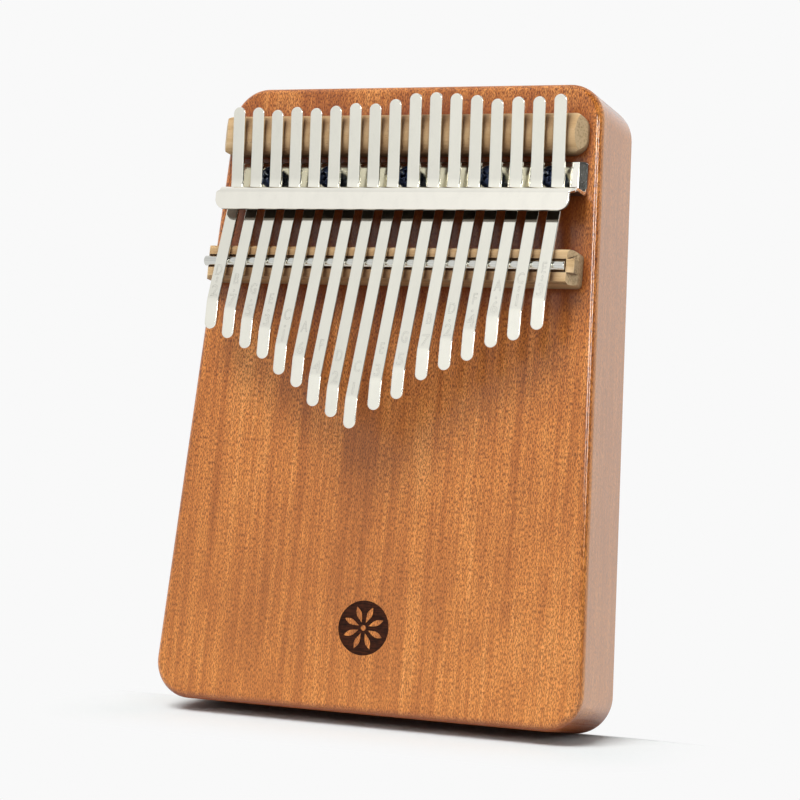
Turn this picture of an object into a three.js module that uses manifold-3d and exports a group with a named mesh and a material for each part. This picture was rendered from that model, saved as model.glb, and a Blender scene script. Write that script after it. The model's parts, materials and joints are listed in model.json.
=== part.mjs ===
// A seventeen-key mbira (thumb piano) with a one-piece tapered wooden board.
//
// Units are millimetres. The exported group stands on the board's bottom end, +Z up the board.
// Its origin is the centre of the bottom end, and the player's side faces -Y.
// Every piece is drawn in the board's own frame: x to the right, y up the board, and z out of the
// playing face, with z = 0 on the face. One turned group then stands the whole instrument up.

import * as THREE from 'three';
import { mergeVertices } from 'three/addons/utils/BufferGeometryUtils.js';
import Module from 'manifold-3d';

const wasm = await Module();
wasm.setup();

// ---- driving dimensions ----

// Board
const BOARD_HEIGHT = 185;
const BOARD_WIDTH_BOTTOM = 135;
const BOARD_WIDTH_TOP = 117.6;
const BOARD_THICKNESS = 30;
const BOARD_CORNER_RADIUS = 11;
const BOARD_ROUNDOVER = 2.2;

// Film of glue or air between two pieces that touch
const SEAT_GAP = 0.05;

// How far a cutting solid reaches past the piece that it cuts or trims
const OVERCUT = 1;

// Both wooden bars are centred a little to the left of the board's middle
const BAR_SHIFT_X = -1;

// Backstop: the low rounded bar under the tines' rear ends
const BACKSTOP_LENGTH = 115.8;
const BACKSTOP_Y = 163.4;
const BACKSTOP_DEPTH = 12;
const BACKSTOP_HEIGHT = 5.3;
const BACKSTOP_SIDE_HEIGHT = 2.6;
const BACKSTOP_CORNER_RADIUS = 4.2;
const BACKSTOP_END_CHAMFER = 3.2;
const BACKSTOP_END_FOOT = 1.6;

// Bridge: the grooved bar that carries the steel rod
const BRIDGE_LENGTH = 118.8;
const BRIDGE_Y = 124.7;
const BRIDGE_DEPTH = 10;
const BRIDGE_HEIGHT = 8;
const BRIDGE_CORNER_RADIUS = 1.4;
const BRIDGE_END_CHAMFER = 2.8;
const BRIDGE_END_FOOT = 4;
const BRIDGE_TOP_CHAMFER = 0.8;
const ROD_RADIUS = 1.5;
const ROD_LENGTH = 114;
const ROD_CENTRE_X = -2.5;
const ROD_Y = 130;
const ROD_Z = 7.5;
const ROD_END_CHAMFER = 0.3;
const ROD_SEGMENTS = 24;

// Folded steel bracket: lower flange on the board, upright web, upper flange tilted to the player
const BRACKET_LENGTH = 112.2;
const SHEET = 1.2;
const BRACKET_WEB_Y = 152.4;
const BRACKET_REAR_Y = 161.5;
const BRACKET_LIP_Y = 145.2;
const BRACKET_TOP_Z = 9.7;
const BRACKET_LIP_Z = 10.7;
const BRACKET_BEND = 1.8;
const BRACKET_LIP_RADIUS = 3.2;
const BRACKET_FOOT_RADIUS = 1;
const BRACKET_EDGE_TRIM = 0.1;
const WINDOW_WIDTH = 4.5;
const WINDOW_LOW_Z = 3.1;
const WINDOW_HIGH_Z = 6.8;

// Pan-head screws, each in the gap after the named tine
const SCREW_AFTER_TINE = [2, 5, 9, 13, 16];
const SCREW_Y = 157;
const SCREW_HEAD_RADIUS = 3.3;
const SCREW_HEAD_HEIGHT = 2;
const SCREW_SKIRT_HEIGHT = 0.9;
const SCREW_SHOULDER = 0.5;
const SCREW_CROWN = 1.5;
const SCREW_SHANK_RADIUS = 1.5;
const SCREW_LENGTH = 12;
const SCREW_POINT_LENGTH = 2.5;
const SCREW_SEGMENTS = 16;
const SCREW_HOLE_RADIUS = 1.85;
const SCREW_HOLE_SPARE = 1;
const RECESS_SPAN = 3.4;
const RECESS_WIDTH = 0.8;
const RECESS_DEPTH = 1.2;

// Tines, from left to right. The free length runs from the rod to the tip, and sets the note.
const TINE_FREE_LENGTHS = [
  21.5, 24.3, 27.3, 30.3, 35, 38.6, 44.1, 47.1, 50.2, 44.5, 41, 35.2, 32, 29, 24.9, 22.6, 19.3,
];
const TINE_REAR_ENDS_Y = [
  177.1, 176.9, 176.1, 176.9, 176.5, 177.1, 177.8, 177.6, 178.8,
  180.4, 180.6, 180.2, 179.6, 178.5, 179, 179, 179.6,
];
const MIDDLE_TINE = 8;
const TINE_PITCH = 6.38;
const TINE_SHIFT_X = -1.9;
const TINE_WIDTH = 3.8;
const TINE_THICKNESS = 1;
const TINE_REAR_SLOPE = 0.138;
const TINE_FRONT_SLOPE = 0.243;
const TINE_TIP_LENGTH = 8.5;
const TINE_HOLLOW_HALF_SPAN = 6;
const TINE_KINK_HALF_SPAN = 1.2;
const TINE_ROD_GAP = 0.08;
const TINE_END_SPARE = 2;

// ---- materials ----

const mahogany = new THREE.MeshStandardMaterial({ color: 0xc07a45, roughness: 0.3, metalness: 0 });
const beech = new THREE.MeshStandardMaterial({ color: 0xcda971, roughness: 0.6, metalness: 0 });
const nickel = new THREE.MeshStandardMaterial({ color: 0xe1dcd0, roughness: 0.12, metalness: 1 });
const steelRod = new THREE.MeshStandardMaterial({ color: 0xd6d4ce, roughness: 0.15, metalness: 1 });
const darkSteel = new THREE.MeshStandardMaterial({ color: 0x1c2334, roughness: 0.35, metalness: 1 });

// ---- helpers: solids ----

function toSolid(geometry) {
  geometry.deleteAttribute('normal');
  geometry.deleteAttribute('uv');
  const merged = mergeVertices(geometry);
  return new wasm.Manifold(new wasm.Mesh({
    numProp: 3,
    vertProperties: new Float32Array(merged.attributes.position.array),
    triVerts: new Uint32Array(merged.index.array),
  }));
}

function toGeometry(solid) {
  const mesh = solid.getMesh();
  const geometry = new THREE.BufferGeometry();
  geometry.setAttribute('position', new THREE.BufferAttribute(new Float32Array(mesh.vertProperties), 3));
  geometry.setIndex(new THREE.BufferAttribute(new Uint32Array(mesh.triVerts), 1));
  geometry.computeVertexNormals();
  return geometry;
}

function addPiece(group, name, solid, material, x = 0) {
  const mesh = new THREE.Mesh(toGeometry(solid), material);
  mesh.name = name;
  mesh.position.x = x;
  group.add(mesh);
}

// ---- helpers: outlines and extrusions ----

// A closed outline whose corners are true arcs. corners: [x, y, radius], counter-clockwise.
function roundedOutline(corners) {
  const shape = new THREE.Shape();
  const count = corners.length;
  corners.forEach(([x, y, radius], i) => {
    const corner = new THREE.Vector2(x, y);
    const before = new THREE.Vector2(...corners[(i + count - 1) % count]).sub(corner).normalize();
    const after = new THREE.Vector2(...corners[(i + 1) % count]).sub(corner).normalize();
    const half = before.angleTo(after) / 2;
    const bisector = before.clone().add(after).normalize();
    const centre = corner.clone().addScaledVector(bisector, radius / Math.sin(half));
    const start = corner.clone().addScaledVector(before, radius / Math.tan(half)).sub(centre);
    const end = corner.clone().addScaledVector(after, radius / Math.tan(half)).sub(centre);
    shape.absarc(centre.x, centre.y, radius, start.angle(), end.angle(), false);
  });
  return shape;
}

function rectangle(xLow, yLow, xHigh, yHigh, radius) {
  return roundedOutline([
    [xLow, yLow, radius],
    [xHigh, yLow, radius],
    [xHigh, yHigh, radius],
    [xLow, yHigh, radius],
  ]);
}

// Extrudes an outline drawn on the playing face, from zLow to zHigh.
function plate(shape, zLow, zHigh, curveSegments = 6) {
  const geometry = new THREE.ExtrudeGeometry(shape, {
    depth: zHigh - zLow,
    bevelEnabled: false,
    curveSegments,
  });
  return toSolid(geometry.translate(0, 0, zLow));
}

// Extrudes a section drawn in the (y, z) plane along x, centred on xCentre.
function alongX(shape, length, xCentre = 0, curveSegments = 8) {
  const geometry = new THREE.ExtrudeGeometry(shape, { depth: length, bevelEnabled: false, curveSegments });
  geometry.translate(0, 0, -length / 2);
  geometry.applyMatrix4(new THREE.Matrix4().makeBasis(
    new THREE.Vector3(0, 1, 0),
    new THREE.Vector3(0, 0, 1),
    new THREE.Vector3(1, 0, 0),
  ));
  return toSolid(geometry.translate(xCentre, 0, 0));
}

// Extrudes an end view drawn in the (z, x) plane along y, from yLow to yHigh.
function alongY(shape, yLow, yHigh) {
  const geometry = new THREE.ExtrudeGeometry(shape, { depth: yHigh - yLow, bevelEnabled: false });
  geometry.applyMatrix4(new THREE.Matrix4().makeBasis(
    new THREE.Vector3(0, 0, 1),
    new THREE.Vector3(1, 0, 0),
    new THREE.Vector3(0, 1, 0),
  ));
  return toSolid(geometry.translate(0, yLow, 0));
}

// A turned solid on the z axis at (x, y). profile: [radius, z] from bottom to top.
function turned(profile, x, y, segments) {
  const points = profile.map(([radius, z]) => new THREE.Vector2(radius, z));
  const geometry = new THREE.LatheGeometry(points, segments);
  geometry.rotateX(Math.PI / 2);
  return toSolid(geometry.translate(x, y, 0));
}

// The section of a strip of even thickness that follows a centre line.
function stripSection(centreLine, thickness, divisions) {
  const points = centreLine.getPoints(divisions);
  const offset = (side) => points.map((point, i) => {
    const before = points[Math.max(i - 1, 0)];
    const after = points[Math.min(i + 1, points.length - 1)];
    const along = after.clone().sub(before).normalize();
    const normal = new THREE.Vector2(-along.y, along.x);
    return point.clone().addScaledVector(normal, (side * thickness) / 2);
  });
  return new THREE.Shape([...offset(-1), ...offset(1).reverse()]);
}

// Adds a rounded bend at a vertex, half a span long to each side of it.
function bendTo(path, from, vertex, to, halfSpan) {
  const entry = vertex.clone().add(from.clone().sub(vertex).setLength(halfSpan));
  const exit = vertex.clone().add(to.clone().sub(vertex).setLength(halfSpan));
  path.lineTo(entry.x, entry.y);
  path.quadraticCurveTo(vertex.x, vertex.y, exit.x, exit.y);
}

// A line through the given points, with every inner point rounded by its own half span.
function bentLine(points, halfSpans) {
  const path = new THREE.Path();
  path.moveTo(points[0].x, points[0].y);
  halfSpans.forEach((halfSpan, i) => bendTo(path, points[i], points[i + 1], points[i + 2], halfSpan));
  const last = points[points.length - 1];
  path.lineTo(last.x, last.y);
  return path;
}

// ---- places that several pieces share ----

const tineX = (index) => TINE_SHIFT_X + (index - MIDDLE_TINE) * TINE_PITCH;
const screwX = (tine) => (tineX(tine - 1) + tineX(tine)) / 2;

// ---- pieces ----

function boardSolid() {
  const bottom = BOARD_WIDTH_BOTTOM / 2;
  const top = BOARD_WIDTH_TOP / 2;
  const outline = roundedOutline([
    [-bottom, 0, BOARD_CORNER_RADIUS],
    [bottom, 0, BOARD_CORNER_RADIUS],
    [top, BOARD_HEIGHT, BOARD_CORNER_RADIUS],
    [-top, BOARD_HEIGHT, BOARD_CORNER_RADIUS],
  ]);
  const geometry = new THREE.ExtrudeGeometry(outline, {
    depth: BOARD_THICKNESS - 2 * BOARD_ROUNDOVER,
    bevelThickness: BOARD_ROUNDOVER,
    bevelSize: BOARD_ROUNDOVER,
    bevelOffset: -BOARD_ROUNDOVER,
    bevelSegments: 4,
    curveSegments: 8,
  });
  let board = toSolid(geometry.translate(0, 0, BOARD_ROUNDOVER - BOARD_THICKNESS));
  const holeFloor = SHEET - SCREW_LENGTH - SCREW_HOLE_SPARE;
  const hole = [
    [0, holeFloor],
    [SCREW_HOLE_RADIUS, holeFloor + SCREW_HOLE_SPARE],
    [SCREW_HOLE_RADIUS, OVERCUT],
    [0, OVERCUT],
  ];
  for (const tine of SCREW_AFTER_TINE) {
    board = board.subtract(turned(hole, screwX(tine), SCREW_Y, SCREW_SEGMENTS));
  }
  return board;
}

// Slopes both ends of a bar from its top face down to its sides.
function endView(length, height, chamfer, chamferFoot) {
  const low = BAR_SHIFT_X - length / 2;
  const high = BAR_SHIFT_X + length / 2;
  return new THREE.Shape([
    new THREE.Vector2(SEAT_GAP, low),
    new THREE.Vector2(chamferFoot, low),
    new THREE.Vector2(height, low + chamfer),
    new THREE.Vector2(height, high - chamfer),
    new THREE.Vector2(chamferFoot, high),
    new THREE.Vector2(SEAT_GAP, high),
  ].reverse());
}

function backstopSolid() {
  const rear = BACKSTOP_Y + BACKSTOP_DEPTH;
  const middle = BACKSTOP_Y + BACKSTOP_DEPTH / 2;
  const section = new THREE.Shape();
  section.moveTo(BACKSTOP_Y, SEAT_GAP);
  section.lineTo(rear, SEAT_GAP);
  section.lineTo(rear, BACKSTOP_SIDE_HEIGHT);
  section.absellipse(
    middle, BACKSTOP_SIDE_HEIGHT, BACKSTOP_DEPTH / 2, BACKSTOP_HEIGHT - BACKSTOP_SIDE_HEIGHT,
    0, Math.PI, false, 0,
  );
  const half = BACKSTOP_LENGTH / 2;
  const plan = rectangle(
    BAR_SHIFT_X - half, BACKSTOP_Y, BAR_SHIFT_X + half, rear, BACKSTOP_CORNER_RADIUS,
  );
  const top = BACKSTOP_HEIGHT + OVERCUT;
  const ends = endView(BACKSTOP_LENGTH, top, BACKSTOP_END_CHAMFER, BACKSTOP_END_FOOT);
  return alongX(section, BACKSTOP_LENGTH, BAR_SHIFT_X)
    .intersect(plate(plan, 0, top))
    .intersect(alongY(ends, BACKSTOP_Y - OVERCUT, rear + OVERCUT));
}

function bridgeSolid() {
  const rear = BRIDGE_Y + BRIDGE_DEPTH;
  const grooveRadius = ROD_RADIUS + SEAT_GAP;
  const edge = BRIDGE_TOP_CHAMFER;
  const section = new THREE.Shape();
  section.moveTo(BRIDGE_Y, SEAT_GAP);
  section.lineTo(rear, SEAT_GAP);
  section.lineTo(rear, BRIDGE_HEIGHT - edge);
  section.lineTo(rear - edge, BRIDGE_HEIGHT);
  section.lineTo(ROD_Y + grooveRadius, BRIDGE_HEIGHT);
  section.lineTo(ROD_Y + grooveRadius, ROD_Z);
  section.absarc(ROD_Y, ROD_Z, grooveRadius, 0, Math.PI, true);
  section.lineTo(ROD_Y - grooveRadius, BRIDGE_HEIGHT);
  section.lineTo(BRIDGE_Y + edge, BRIDGE_HEIGHT);
  section.lineTo(BRIDGE_Y, BRIDGE_HEIGHT - edge);
  const half = BRIDGE_LENGTH / 2;
  const plan = rectangle(BAR_SHIFT_X - half, BRIDGE_Y, BAR_SHIFT_X + half, rear, BRIDGE_CORNER_RADIUS);
  const top = BRIDGE_HEIGHT + OVERCUT;
  const ends = endView(BRIDGE_LENGTH, top, BRIDGE_END_CHAMFER, BRIDGE_END_FOOT);
  return alongX(section, BRIDGE_LENGTH, BAR_SHIFT_X)
    .intersect(plate(plan, 0, top))
    .intersect(alongY(ends, BRIDGE_Y - OVERCUT, rear + OVERCUT));
}

function rodSolid() {
  const half = ROD_LENGTH / 2;
  const points = [
    [0, -half],
    [ROD_RADIUS - ROD_END_CHAMFER, -half],
    [ROD_RADIUS, -half + ROD_END_CHAMFER],
    [ROD_RADIUS, half - ROD_END_CHAMFER],
    [ROD_RADIUS - ROD_END_CHAMFER, half],
    [0, half],
  ].map(([radius, along]) => new THREE.Vector2(radius, along));
  const geometry = new THREE.LatheGeometry(points, ROD_SEGMENTS);
  geometry.rotateZ(-Math.PI / 2);
  return toSolid(geometry.translate(ROD_CENTRE_X, ROD_Y, ROD_Z));
}

function bracketSolid() {
  const footZ = SEAT_GAP + SHEET / 2;
  const centreLine = bentLine([
    new THREE.Vector2(BRACKET_REAR_Y, footZ),
    new THREE.Vector2(BRACKET_WEB_Y, footZ),
    new THREE.Vector2(BRACKET_WEB_Y, BRACKET_TOP_Z),
    new THREE.Vector2(BRACKET_LIP_Y, BRACKET_LIP_Z),
  ], [BRACKET_BEND, BRACKET_BEND]);
  const half = BRACKET_LENGTH / 2;
  const lipY = BRACKET_LIP_Y + BRACKET_EDGE_TRIM;
  const rearY = BRACKET_REAR_Y - BRACKET_EDGE_TRIM;
  const plan = roundedOutline([
    [-half, lipY, BRACKET_LIP_RADIUS],
    [half, lipY, BRACKET_LIP_RADIUS],
    [half, rearY, BRACKET_FOOT_RADIUS],
    [-half, rearY, BRACKET_FOOT_RADIUS],
  ]);
  let bracket = alongX(stripSection(centreLine, SHEET, 6), BRACKET_LENGTH)
    .intersect(plate(plan, -OVERCUT, BRACKET_LIP_Z + SHEET));
  for (let i = 0; i < TINE_FREE_LENGTHS.length; i += 1) {
    const opening = new THREE.BoxGeometry(WINDOW_WIDTH, 2 * SHEET, WINDOW_HIGH_Z - WINDOW_LOW_Z);
    opening.translate(tineX(i), BRACKET_WEB_Y, (WINDOW_HIGH_Z + WINDOW_LOW_Z) / 2);
    bracket = bracket.subtract(toSolid(opening));
  }
  const hole = [
    [0, -OVERCUT],
    [SCREW_HOLE_RADIUS, -OVERCUT],
    [SCREW_HOLE_RADIUS, 2 * SHEET],
    [0, 2 * SHEET],
  ];
  for (const tine of SCREW_AFTER_TINE) {
    bracket = bracket.subtract(turned(hole, screwX(tine), SCREW_Y, SCREW_SEGMENTS));
  }
  return bracket;
}

function screwSolid(x) {
  const headBase = 2 * SEAT_GAP + SHEET;
  const headTop = headBase + SCREW_HEAD_HEIGHT;
  const point = headBase - SCREW_LENGTH;
  const profile = [
    [0, point],
    [SCREW_SHANK_RADIUS, point + SCREW_POINT_LENGTH],
    [SCREW_SHANK_RADIUS, headBase],
    [SCREW_HEAD_RADIUS, headBase],
    [SCREW_HEAD_RADIUS, headBase + SCREW_SKIRT_HEIGHT],
    [SCREW_HEAD_RADIUS - SCREW_SHOULDER, headTop - SCREW_SHOULDER],
    [SCREW_HEAD_RADIUS - SCREW_CROWN, headTop],
    [0, headTop],
  ];
  let screw = turned(profile, x, SCREW_Y, SCREW_SEGMENTS);
  for (const [spanX, spanY] of [[RECESS_SPAN, RECESS_WIDTH], [RECESS_WIDTH, RECESS_SPAN]]) {
    const slot = new THREE.BoxGeometry(spanX, spanY, 2 * RECESS_DEPTH);
    screw = screw.subtract(toSolid(slot.translate(x, SCREW_Y, headTop)));
  }
  return screw;
}

// A tine lies over the backstop, dips through its window in the bracket, rises over the rod, and
// ends in a short flat stretch that is parallel with the board.
function tineSolid(freeLength, rearY) {
  const overRodZ = ROD_Z + ROD_RADIUS + TINE_ROD_GAP
    + (TINE_THICKNESS / 2) * Math.hypot(1, TINE_FRONT_SLOPE);
  const frontZ = (y) => overRodZ + (ROD_Y - y) * TINE_FRONT_SLOPE;
  const dipY = BRACKET_WEB_Y;
  const kinkY = ROD_Y - freeLength + TINE_TIP_LENGTH;
  const tipY = ROD_Y - freeLength;
  const pastRearY = rearY + TINE_END_SPARE;
  const rearZ = frontZ(dipY) + (pastRearY - dipY) * TINE_REAR_SLOPE;
  const centreLine = bentLine([
    new THREE.Vector2(pastRearY, rearZ),
    new THREE.Vector2(dipY, frontZ(dipY)),
    new THREE.Vector2(kinkY, frontZ(kinkY)),
    new THREE.Vector2(tipY - TINE_END_SPARE, frontZ(kinkY)),
  ], [TINE_HOLLOW_HALF_SPAN, TINE_KINK_HALF_SPAN]);
  const half = TINE_WIDTH / 2;
  const plan = new THREE.Shape();
  plan.absarc(0, tipY + half, half, Math.PI, 2 * Math.PI, false);
  plan.absarc(0, rearY - half, half, 0, Math.PI, false);
  return alongX(stripSection(centreLine, TINE_THICKNESS, 8), TINE_WIDTH + OVERCUT)
    .intersect(plate(plan, 0, frontZ(kinkY) + 2 * TINE_THICKNESS, 5));
}

// ---- assembly ----

const instrument = new THREE.Group();
const drawing = new THREE.Group();
drawing.rotation.x = Math.PI / 2;
drawing.position.y = -BOARD_THICKNESS / 2;
instrument.add(drawing);

addPiece(drawing, 'body_board', boardSolid(), mahogany);
addPiece(drawing, 'backstop_bar', backstopSolid(), beech);
addPiece(drawing, 'bridge_saddle', bridgeSolid(), beech);
addPiece(drawing, 'bridge_rod', rodSolid(), steelRod);
addPiece(drawing, 'z_bracket', bracketSolid(), nickel);
SCREW_AFTER_TINE.forEach((tine, i) => {
  addPiece(drawing, `bracket_screw_${i + 1}`, screwSolid(screwX(tine)), darkSteel);
});
TINE_FREE_LENGTHS.forEach((freeLength, i) => {
  const name = `tine_${String(i + 1).padStart(2, '0')}`;
  addPiece(drawing, name, tineSolid(freeLength, TINE_REAR_ENDS_Y[i]), nickel, tineX(i));
});

export default instrument;
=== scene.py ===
import json
import math

import bmesh
import bpy
from mathutils import Matrix, Vector


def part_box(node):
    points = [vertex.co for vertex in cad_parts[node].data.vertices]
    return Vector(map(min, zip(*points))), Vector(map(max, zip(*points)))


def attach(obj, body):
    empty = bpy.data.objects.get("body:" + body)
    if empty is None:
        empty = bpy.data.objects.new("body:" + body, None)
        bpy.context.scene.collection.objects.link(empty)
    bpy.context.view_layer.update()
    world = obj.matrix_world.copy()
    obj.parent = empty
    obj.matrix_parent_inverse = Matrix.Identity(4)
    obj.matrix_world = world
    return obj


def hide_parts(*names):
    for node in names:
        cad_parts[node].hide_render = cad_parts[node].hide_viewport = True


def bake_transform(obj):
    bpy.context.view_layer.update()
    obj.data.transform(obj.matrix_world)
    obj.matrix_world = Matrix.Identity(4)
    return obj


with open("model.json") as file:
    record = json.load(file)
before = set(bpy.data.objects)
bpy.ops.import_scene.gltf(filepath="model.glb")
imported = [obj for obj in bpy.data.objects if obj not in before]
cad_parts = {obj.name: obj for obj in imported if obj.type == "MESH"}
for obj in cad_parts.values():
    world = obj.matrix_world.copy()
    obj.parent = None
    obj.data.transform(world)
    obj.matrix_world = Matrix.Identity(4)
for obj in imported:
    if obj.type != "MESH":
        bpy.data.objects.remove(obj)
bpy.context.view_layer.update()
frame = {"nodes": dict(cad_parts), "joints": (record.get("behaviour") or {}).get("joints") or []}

# A seventeen-key mbira: a glossy tapered mahogany board, two beech bars, a polished rod and
# bracket, dark screws and mirror-polished tines. Lengths are in metres, in the CAD's own frame:
# +Z up the board, -Y towards the player.

MM = 0.001
ROOT = "board_assembly"

# ---- places from the frame ----

BOARD_LOW, BOARD_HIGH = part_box("body_board")
ROD_LOW, ROD_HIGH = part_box("bridge_rod")
FACE_Y = BOARD_LOW.y
BACK_Y = BOARD_HIGH.y
BOARD_HEIGHT = BOARD_HIGH.z
TINES = sorted(n for n in frame["nodes"] if n.startswith("tine_"))
SCREWS = sorted(n for n in frame["nodes"] if n.startswith("bracket_screw_"))
PIVOTS = {j["child"]: Vector(j["pos_m"]) for j in frame["joints"]}

# ---- board and emblem sizes ----

BOARD_HALF_BOTTOM = 67.5 * MM
BOARD_HALF_TOP = 58.8 * MM
BOARD_CORNER = 11 * MM
BOARD_CORNER_STEPS = 20
BOARD_ROUNDOVER = 2.2 * MM
BOARD_ROUNDOVER_STEPS = 10
BOARD_FACE_MARGIN = 0.4 * MM

EMBLEM_X = -0.5 * MM
EMBLEM_Z = 24.6 * MM
EMBLEM_RADIUS = 7.9 * MM
EMBLEM_DEPTH = 0.25 * MM
EMBLEM_LEAVES = 8
# Shares of the emblem's radius
EYE_RADIUS = 0.1
LEAF_START = 0.2
LEAF_END = 0.82
LEAF_WIDTH = 0.2
LEAF_LEAN = 1.2

# ---- bar and rod sizes ----

BACKSTOP_HEIGHT_SCALE = 1.067
BACKSTOP_SHIFT = -1.1 * MM
BACKSTOP_EDGE = 0.6 * MM
BRIDGE_END_SHIFT = -1.2 * MM
BRIDGE_EDGE = 0.35 * MM
CHANNEL_GAP = 0.45 * MM
CHANNEL_DEPTH = 0.9 * MM
CHANNEL_PAST_ROD = 0.2 * MM
CUTTER_MARGIN = 1 * MM
BAR_WELD = 0.002 * MM
BAR_FLAT_DEGREES = 1.0
BAR_EDGE_DEGREES = 28
BAR_EDGE_STEPS = 4
ROD_EDGE = 0.35 * MM
ROD_EDGE_STEPS = 5
ROD_SEGMENTS = 64

# ---- bracket sizes ----

SHEET = 1.2 * MM
SHEET_EDGE = 0.14 * MM
SHEET_CORNER = SHEET_EDGE * 1.5
WEB_Z = 151.9 * MM
WEB_TOP_Y = 9.7 * MM
LIP_Z = 145.3 * MM
LIP_Y = 9.9 * MM
FOOT_Y = 0.65 * MM
BRACKET_BEND_SPAN = 1.8 * MM
LIP_CORNER = 3.2 * MM
LIP_LEFT_OVERHANG = 0.8 * MM
LIP_RIGHT_SETBACK = 1.3 * MM
LIP_SHOULDER = 0.5 * MM
FOOT_SHIFT = 0.3 * MM
CURL_LENGTH = 2.6 * MM
CURL_SHARE = 0.93
CURL_CREASE = 0.35 * MM
FOOT_LIFT = 0.6 * MM
FOOT_CORNER = 1.0 * MM
WINDOW_WIDTH = 4.5 * MM
WINDOW_LOW_Y = 3.1 * MM
WINDOW_HIGH_Y = 5.32 * MM
WINDOW_CORNER = 0.35 * MM
SCREW_HOLE_RADIUS = 1.85 * MM
CURVE_WELD = 0.0005 * MM

# ---- screw sizes ----

SCREW_POINT = 1.5 * MM
SCREW_RIM = 0.1 * MM
SCREW_SEGMENTS = 48
SCREW_DOME_STEPS = 10
# Shares of the head's radius or height
SHANK_RADIUS = 0.45
SKIRT_HEIGHT = 0.28
CROWN_RADIUS = 0.42
CROSS_DEPTH = 0.62
CROSS_FLOOR = (0.42, 0.1)
CROSS_MOUTH = (0.62, 0.16)
CROSS_MOUTH_HEIGHT = 0.5 * MM
SCREW_FIRST_TURN = 17
SCREW_NEXT_TURN = 41

# ---- tine sizes ----

TINE_WIDTH = 3.8 * MM
TINE_THICKNESS = 1.0 * MM
TINE_EDGE = 0.2 * MM
TINE_EDGE_STEPS = 4
TINE_FACE_MARGIN = 0.16 * MM
TINE_END_STEPS = 12
TINE_END_ROUND = 0.999
TINE_REAR_SLOPE = 0.138
TINE_FRONT_SLOPE = 0.243
TINE_TIP_LENGTH = 8.5 * MM
TINE_DIP_HALF_SPAN = 4 * MM
TINE_KINK_HALF_SPAN = 1.0 * MM
TINE_BEND_STEPS = 14
TINE_ROLL_DEGREES = 0.7
TINE_OVER_ROD = 0.02 * MM

# Notes from left to right: number, octave dots above it, letter
NOTES = [
    ("2", 2, "D"), ("7", 1, "B"), ("5", 1, "G"), ("3", 1, "E"), ("1", 1, "C"), ("6", 0, "A"),
    ("4", 0, "F"), ("2", 0, "D"), ("1", 0, "C"), ("3", 0, "E"), ("5", 0, "G"), ("7", 0, "B"),
    ("2", 1, "D"), ("4", 1, "F"), ("6", 1, "A"), ("1", 2, "C"), ("3", 2, "E"),
]
MARK_SIZE = 5.2 * MM
MARK_LINE = 0.035 * MM
MARK_DEPTH = 0.05 * MM
MARK_POINT_GAP = 0.12 * MM
MARK_WELD = 0.001 * MM
MARK_FROM_KINK = 1.3 * MM
NUMBER_NARROWING = 0.9
LETTER_NARROWING = 0.62
# Shares of the mark's size
FIRST_DOT = 0.86
NEXT_DOT = 0.2
LETTER_START = 1.32
LETTER_SIZE = 0.94

# ---- studio ----

FLOOR_FALL_DEGREES = 9.0
FLOOR_FOLD_INSET = 2 * MM
FLOOR_REACH = 6.0
FLOOR_SHADE = 0.86
FLOOR_MOTTLE = 0.01
FLOOR_RED_SHARE = 0.96
FLOOR_EVEN_REACH = 35 * MM
FLOOR_FILL = 0.40
BACKDROP_LEVEL = 0.947
BACKDROP_START = (-0.3, 0.1)
# Brightness of the softbox by the sine of its height
SOFTBOX_LEVELS = [
    (-0.3, 0.68), (-0.12, 0.70), (0.0, 0.85), (0.15, 0.96),
    (0.42, 0.94), (0.52, 0.84), (0.7, 0.88), (1.0, 0.92),
]
SOFTBOX_EDGE = (-0.5, -0.3)
SOFTBOX_SIDES = (0.90, 1.10)
# The dark room beside the softbox, between two azimuths in degrees
ROOM_LEVEL = 0.06
ROOM_NEAR = (-8.0, 6.0)
ROOM_FAR = (118.0, 104.0)
ROOM_FOOT = (0.05, 0.08)
# Upright strip lights: azimuth, half width, strength
STRIPS = [(13.0, 7.0, 15.0), (43.0, 5.0, 16.0), (97.0, 6.0, 12.0)]
STRIP_CORE = 0.8
STRIP_FOOT = (0.10, 0.16)
STRIP_TOP = (0.34, 0.28)
FILL_LEVEL = 0.26
KEY_STRENGTH = 2.9
KEY_SPREAD_DEGREES = 34
KEY_DIRECTION = (0.12, 0.69, -0.71)
CAMERA_LENS = 108.27
CAMERA_SENSOR = 36
CAMERA_PLACE = (0.2785, -0.6519, 0.0070)
CAMERA_FORWARD = (-0.3923, 0.9119, 0.1205)
CAMERA_RIGHT = (0.9191, 0.3836, 0.0897)
CAMERA_UP = (-0.0356, -0.1459, 0.9887)

# ---- colours ----

MAHOGANY_TONES = [
    (0.40, (0.40, 0.112, 0.019)),
    (0.47, (0.59, 0.190, 0.035)),
    (0.53, (0.79, 0.290, 0.061)),
    (0.61, (1.0, 0.435, 0.115)),
]
MAHOGANY_SPECKLE = [(0.40, (0.30, 0.22, 0.17)), (0.54, (1.0, 1.0, 1.0))]
MAHOGANY_FIBRE = (0.36, 0.092, 0.012)
MAHOGANY_PORE = (0.20, 0.045, 0.007)
MAHOGANY_DEEP_PORE = (0.11, 0.022, 0.004)
MAHOGANY_END = (0.28, 0.085, 0.02)
# Painted reflection: the pale room mirrored in the varnish on the board's sides
MAHOGANY_SIDE_REFLECTION = (0.98, 0.44, 0.16)
MAHOGANY_FOOT = (0.78, 0.32, 0.08)
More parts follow.
